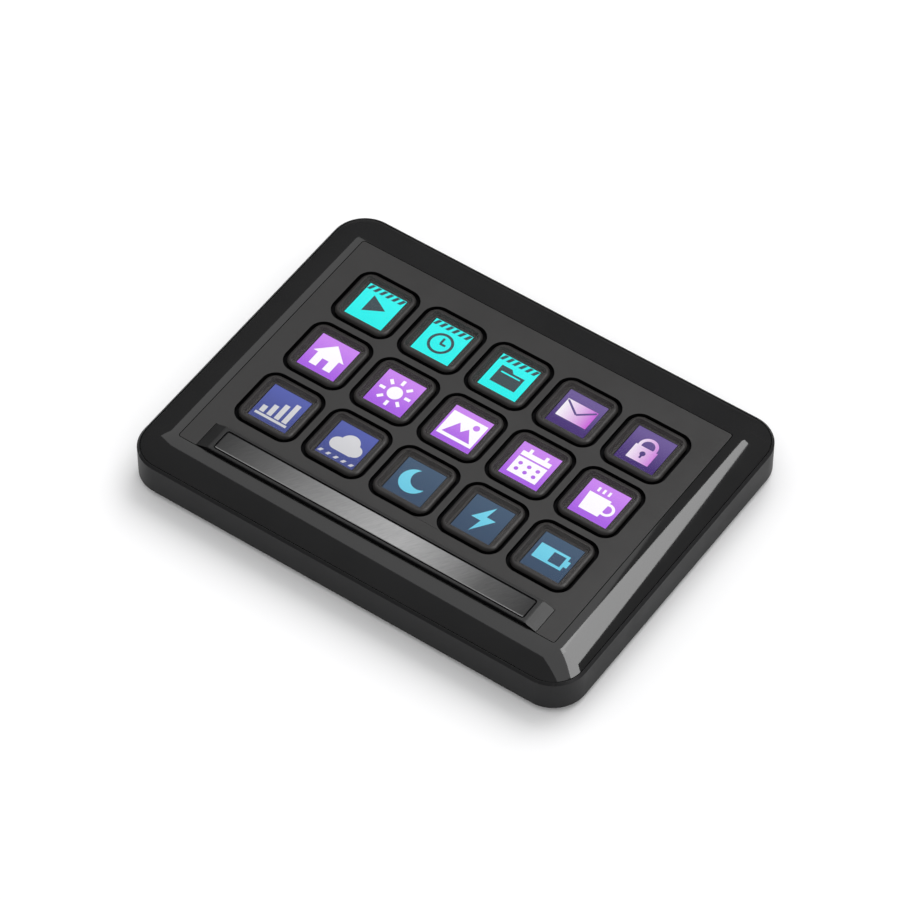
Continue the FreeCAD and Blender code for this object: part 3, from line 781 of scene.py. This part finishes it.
# Each mark is a list of flat shapes in millimetres from the tile's middle; cut shapes are laid
# on top in the tile's colour. A disc is (x, y, radius), a ring (x, y, outer, inner),
# a bar (x, y, x, y, width) and a dash (x, y, width, height, lean)
markShapes = {
    "play": {"mark": [("poly", (-1.9, -2.3), (2.3, 0.0), (-1.9, 2.3))]},
    "clock": {"mark": [("ring", 0, -0.5, 2.7, 2.1), ("bar", 0, -0.6, 0, 1.0, 0.5),
                       ("bar", -0.1, -0.6, 1.2, -0.6, 0.5)]},
    "folder": {"mark": [("poly", (-2.9, -2.6), (2.9, -2.6), (2.9, 1.2), (0.2, 1.2),
                         (-0.5, 2.0), (-2.9, 2.0))],
               "cut": [("bar", -2.2, 0.5, 2.2, 0.5, 0.35)]},
    "envelope": {"mark": [rectangle(-3.5, -2.4, 3.5, 2.4)],
                 "cut": [("bar", -3.3, 2.1, 0, -0.4, 0.45), ("bar", 0, -0.4, 3.3, 2.1, 0.45)]},
    "padlock": {"mark": [rectangle(-2.5, -3.3, 2.5, 0.5), ("ring", 0, 0.9, 2.1, 1.4)],
                "cut": [("disc", 0, -1.1, 0.6), ("bar", 0, -1.1, 0, -2.3, 0.45)]},
    "house": {"mark": [("poly", (-3.6, 0.1), (3.6, 0.1), (0, 3.4)), rectangle(-2.5, -3.2, 2.5, 0.1)],
              "cut": [rectangle(-0.75, -3.2, 0.75, -0.9)]},
    "sun": {"mark": [("disc", 0, 0, 1.6)] + [ray(n * math.pi / 4, 2.3, 3.6, 0.7) for n in range(8)]},
    "picture": {"mark": [rectangle(-4.0, -3.2, 4.0, 3.2)],
                "cut": [("poly", (-3.2, -2.4), (3.2, -2.4), (1.2, 0.7), (0.1, -0.8), (-1.2, 1.2)),
                        ("disc", 2.2, 1.7, 0.7)]},
    "calendar": {"mark": [rectangle(-3.3, -3.4, 3.3, 2.6), ("bar", -1.8, 2.4, -1.8, 3.6, 0.7),
                          ("bar", 1.8, 2.4, 1.8, 3.6, 0.7)],
                 "cut": [("bar", -3.3, 1.2, 3.3, 1.2, 0.4)]
                 + [("disc", -2.0 + 2.0 * a, -0.4 - 1.6 * b, 0.45) for a in range(3) for b in range(2)]},
    "mug": {"mark": [("poly", (-2.9, -3.0), (1.5, -3.0), (1.8, 1.6), (-3.2, 1.6)),
                     ("ring", 2.1, -0.6, 1.6, 1.0)]
            + [("bar", -1.9 + 1.2 * n, 2.3, -1.9 + 1.2 * n, 3.4, 0.5) for n in range(3)]},
    "chart": {"mark": [("bar", -2.7 + 1.8 * n, -2.6, -2.7 + 1.8 * n, -0.9 + 1.2 * n, 1.1) for n in range(4)]
              + [("bar", -3.7, -3.2, 3.7, -3.2, 0.6)]},
    "cloud": {"mark": [("disc", -1.8, -0.6, 1.6), ("disc", 0.3, 0.6, 2.1), ("disc", 2.2, -0.5, 1.5),
                       rectangle(-1.8, -2.2, 2.2, 0.4)]
              + [("dash", -3.6 + 1.8 * n, -3.7, 0.7, 0.7, 0.2) for n in range(5)]},
    "moon": {"mark": [("disc", -0.2, 0, 3.0)], "cut": [("disc", 1.2, 1.1, 2.4)]},
    "bolt": {"mark": [("poly", (0.8, 3.7), (-2.4, -0.5), (-0.2, -0.5), (-0.9, -3.7), (2.4, 0.8), (0.3, 0.8))]},
    "battery": {"mark": [rectangle(-3.6, -1.9, 3.0, 1.9), rectangle(3.0, -0.8, 3.7, 0.8)],
                "cut": [rectangle(-0.3, -1.3, 2.4, 1.3)]},
}
tileLayers = {"tileHeight": 0.03, "markHeight": 0.015, "cutHeight": 0.03, "markScale": 1.2, "roundSteps": 40,
              "stripes": [("dash", -4.4 + 1.76 * n, 4.5, 0.9, 1.6, 0.4) for n in range(6)]}


def grown(shape, scale):
    return (shape[0],) + tuple(tuple(scale * v for v in part) if isinstance(part, tuple) else scale * part
                               for part in shape[1:])


def addCircle(bm, x, y, low, radius, filled):
    return bmesh.ops.create_circle(bm, cap_ends=filled, segments=tileLayers["roundSteps"], radius=radius,
                                   matrix=Matrix.Translation((x, y, low)))["verts"]


def addFlat(bm, shape, x, y, low, height, finishIndex):
    # one flat shape of a mark, raised to a thin closed plate
    before = set(bm.faces)
    kind = shape[0]
    corners = []
    if kind == "disc":
        addCircle(bm, x + shape[1], y + shape[2], low, shape[3], True)
    elif kind == "ring":
        edges = []
        for radius in shape[3:5]:
            verts = addCircle(bm, x + shape[1], y + shape[2], low, radius, False)
            edges += list({edge for vert in verts for edge in vert.link_edges})
        bmesh.ops.bridge_loops(bm, edges=edges)
    elif kind == "bar":
        start, end = Vector(shape[1:3]), Vector(shape[3:5])
        across = (end - start).orthogonal().normalized() * shape[5] / 2
        corners = [tuple(p) for p in (start + across, start - across, end - across, end + across)]
    elif kind == "dash":
        half, tall, lean = shape[3] / 2, shape[4] / 2, shape[5]
        corners = [(shape[1] + px, shape[2] + py) for px, py in
                   ((-half - lean, -tall), (half - lean, -tall), (half + lean, tall), (-half + lean, tall))]
    else:
        corners = shape[1:]
    if corners:
        bm.faces.new([bm.verts.new((x + px, y + py, low)) for px, py in corners])
    thicken(bm, [face for face in bm.faces if face not in before], height)
    for face in bm.faces:
        if face not in before:
            face.material_index = finishIndex


def buildScreen(name, x, y, layers):
    tone, mark = keyMarks[name]
    base = boxMm("key_display_" + name)[1].z
    wide, deep = screenWidth / 2, screenDepth / 2
    bm = bmesh.new()
    addFlat(bm, rectangle(-wide, -deep, wide, deep), x, y, base, layers["tileHeight"], 0)
    top = base + layers["tileHeight"]
    for shape in markShapes[mark]["mark"]:
        addFlat(bm, grown(shape, layers["markScale"]), x, y, top, layers["markHeight"], 1)
    for shape in markShapes[mark].get("cut", []):
        addFlat(bm, grown(shape, layers["markScale"]), x, y, top, layers["cutHeight"], 0)
    if tone == "aqua":
        for shape in layers["stripes"]:
            addFlat(bm, shape, x, y, top, layers["markHeight"], 1)
    bmesh.ops.recalc_face_normals(bm, faces=bm.faces)
    tileMap = bm.loops.layers.uv.new("tile")
    for face in bm.faces:
        for loop in face.loops:
            place = loop.vert.co
            loop[tileMap].uv = ((place.x - x) / screenWidth + 0.5, (place.y - y) / screenDepth + 0.5)
    makePiece("screen_" + name, bm, "key_" + name, screenFinishes[tone], sharpAngle=20)


for name in keyNames:
    x, y = buildCap(name, capShape)
    buildScreen(name, x, y, tileLayers)
    refinish("key_display_" + name, blackPlasticAndShade)
print("caps and screens made for", len(keyNames), "keys")


# Floor, light and camera

stageLook = {"floorSize": 6.0, "floorColour": (0.86, 0.86, 0.865), "floorShade": 0.99,
             "mottleScale": 3.0, "roughness": 0.9, "specular": 0.1, "worldStrength": 0.93,
             "darkCard": {"low": (-2.0, 0.092, 0.0005), "high": (2.0, 2.6, 0.0015)}}
# A panel shines straight down and is spun about the upright, or is turned by "rows", or faces the pad
panelLooks = {
    "overheadLight": {"place": (0.0, 1.0, 1.2), "size": (1.2, 1.2), "power": 13.5, "hiddenFrom": "glossy"},
    "rimPanel": {"place": (0.347, 0.042, 0.356), "size": (0.75, 0.164), "power": 2.4, "hiddenFrom": "diffuse",
                 "rows": ((0.869, 0.265, 0.418), (-0.489, 0.596, 0.637), (-0.08, -0.758, 0.647))},
    "widePanel": {"place": (-0.317, 0.274, 0.60), "size": (0.73, 0.365), "power": 0.872,
                  "hiddenFrom": "diffuse", "spin": -25.0},
    "cornerPanel": {"place": (0.1754, -0.0011, 0.60), "size": (0.395, 0.2825), "power": 0.365,
                    "hiddenFrom": "diffuse", "spin": -25.0},
}
cameraLook = {"lens": 199.59, "sensor": 36.0, "clip": (0.05, 50.0),
              "place": (0.42121, -0.60445, 0.90599), "aim": (0.00147, -0.00445, 0.01275)}


def hideFrom(item, *kinds):
    for kind in kinds:
        setattr(item, "visible_" + kind, False)


def buildFloor(look):
    bm = bmesh.new()
    bmesh.ops.create_grid(bm, x_segments=2, y_segments=2, size=look["floorSize"] / 2)
    mesh = meshFrom(bm, "studioFloor")
    finish, tree, shader = newFinish("paleFloor")
    mottle = addNode(tree, "ShaderNodeTexNoise", {
        "Vector": objectPlace(tree), "Scale": look["mottleScale"], "Detail": 2.0})
    shaded = tuple(look["floorShade"] * c for c in look["floorColour"])
    tone = colourRamp(tree, mottle.outputs["Fac"], [(0.3, shaded), (0.7, look["floorColour"])])
    tree.links.new(tone, shader.inputs["Base Color"])
    shader.inputs["Roughness"].default_value = look["roughness"]
    shader.inputs["Specular IOR Level"].default_value = look["specular"]
    mesh.materials.append(finish)
    addObject("studioFloor", mesh)


def buildDarkCard(look):
    # a matt dark grey card behind the pad, so that its far edge doesn't mirror the white floor
    bm = bmesh.new()
    block(bm, look["low"], look["high"])
    mesh = meshFrom(bm, "darkCard")
    mesh.materials.append(borderPaintedLightPlastic)
    card = addObject("darkCard", mesh)
    hideFrom(card, "camera", "diffuse", "transmission", "shadow")


def addPanel(name, look):
    data = bpy.data.lights.new(name, "AREA")
    data.shape = "RECTANGLE"
    data.size, data.size_y = look["size"]
    data.energy = look["power"]
    lamp = addObject(name, data)
    lamp.location = look["place"]
    if "spin" in look:
        turn = Euler((0, 0, math.radians(look["spin"]))).to_quaternion()
    elif "rows" in look:
        turn = Matrix(look["rows"]).to_quaternion()
    else:
        turn = Vector(look["place"]).to_track_quat("Z", "Y")
    lamp.rotation_mode = "QUATERNION"
    lamp.rotation_quaternion = turn
    hideFrom(lamp, "camera", "transmission", look["hiddenFrom"])


def lightWorld(strength):
    # an even white sky that no gloss mirrors
    world = bpy.data.worlds.new("studioWorld")
    bpy.context.scene.world = world
    world.use_nodes = True
    sky = world.node_tree.nodes["Background"]
    sky.inputs["Color"].default_value = (1, 1, 1, 1)
    sky.inputs["Strength"].default_value = strength
    world.cycles_visibility.glossy = False


def addCamera(look):
    data = bpy.data.cameras.new("studioCamera")
    data.lens = look["lens"]
    data.sensor_width = look["sensor"]
    data.clip_start, data.clip_end = look["clip"]
    camera = addObject("studioCamera", data)
    camera.location = look["place"]
    camera.rotation_mode = "QUATERNION"
    camera.rotation_quaternion = (Vector(look["aim"]) - camera.location).to_track_quat("-Z", "Y")
    bpy.context.scene.camera = camera


buildFloor(stageLook)
buildDarkCard(stageLook["darkCard"])
for name, look in panelLooks.items():
    addPanel(name, look)
lightWorld(stageLook["worldStrength"])
bpy.context.scene.view_settings.view_transform = "Standard"
addCamera(cameraLook)
print("stage, lights and camera set")
